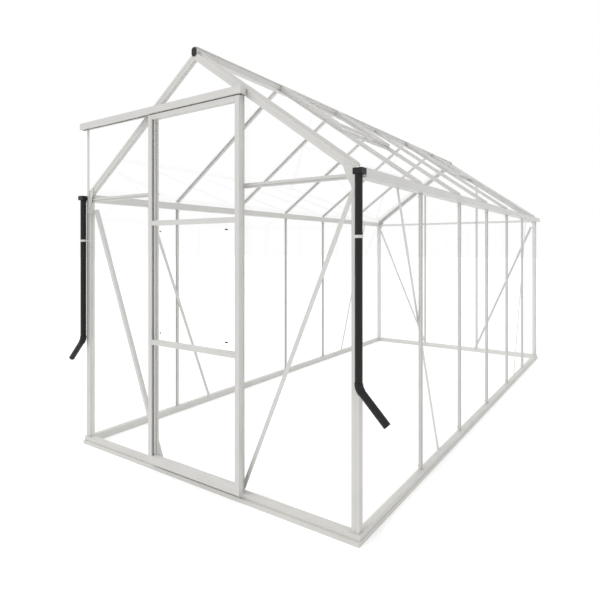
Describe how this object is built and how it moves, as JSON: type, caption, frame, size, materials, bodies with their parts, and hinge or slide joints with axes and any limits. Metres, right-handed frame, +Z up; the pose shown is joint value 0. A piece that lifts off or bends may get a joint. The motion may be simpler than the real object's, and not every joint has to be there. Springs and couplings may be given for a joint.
{
  "type": "glass greenhouse",
  "caption": "Free-standing aluminium greenhouse with a span roof, glazed walls, roof vents, gutters with downpipes and a sliding gable door.",
  "frame": {"origin": "on the ground under the middle of the whole object", "axes": "+X to the right as seen from the door end, +Y from the door end to the back along the ridge, +Z up"},
  "size_m": [2.1772, 3.8534, 2.175],
  "materials": {
    "frame_metal": "mill-finish extruded aluminium, satin",
    "base_metal": "mill-finish extruded aluminium, satin",
    "door_frame": "mill-finish extruded aluminium, satin",
    "rainwater_metal": "mill-finish extruded aluminium, satin",
    "glass": "clear horticultural float glass",
    "black_plastic": "black moulded plastic, slightly glossy"
  },
  "bodies": {
    "house": {"base_end_rails": "base_metal", "base_side_rails": "base_metal", "end_sills": "base_metal", "side_sills": "base_metal", "corner_posts": "frame_metal", "left_wall_bars": "frame_metal", "right_wall_bars": "frame_metal", "front_gable_posts": "frame_metal", "back_gable_posts": "frame_metal", "front_tie_rails": "frame_metal", "back_tie_rails": "frame_metal", "door_header": "frame_metal", "left_gutter": "rainwater_metal", "right_gutter": "rainwater_metal", "front_rafters": "frame_metal", "back_rafters": "frame_metal", "left_roof_bars": "frame_metal", "right_roof_bars": "frame_metal", "vent_cross_bars": "frame_metal", "ridge_bar": "frame_metal", "ridge_end_caps": "black_plastic", "gable_braces": "frame_metal", "wall_braces": "frame_metal", "eave_gussets": "frame_metal", "door_track": "frame_metal", "track_brackets": "frame_metal", "left_wall_glass": "glass", "right_wall_glass": "glass", "front_gable_glass": "glass", "back_gable_glass": "glass", "left_roof_glass": "glass", "right_roof_glass": "glass", "roof_vent_frames": "frame_metal", "roof_vent_glass": "glass", "gutter_outlets": "black_plastic", "gutter_end_caps": "black_plastic", "left_downpipe": "black_plastic", "right_downpipe": "black_plastic", "downpipe_elbows": "black_plastic", "pipe_clips": "rainwater_metal"},
    "door": {"door_stiles": "door_frame", "door_rails": "door_frame", "door_glass": "glass", "door_hangers": "door_frame", "door_wheels": "black_plastic"}
  },
  "joints": [
    {"name": "door_slide", "type": "slide", "parent": "house", "child": "door", "axis": [-1, 0, 0], "range_m": [0, 0.61]}
  ]
}
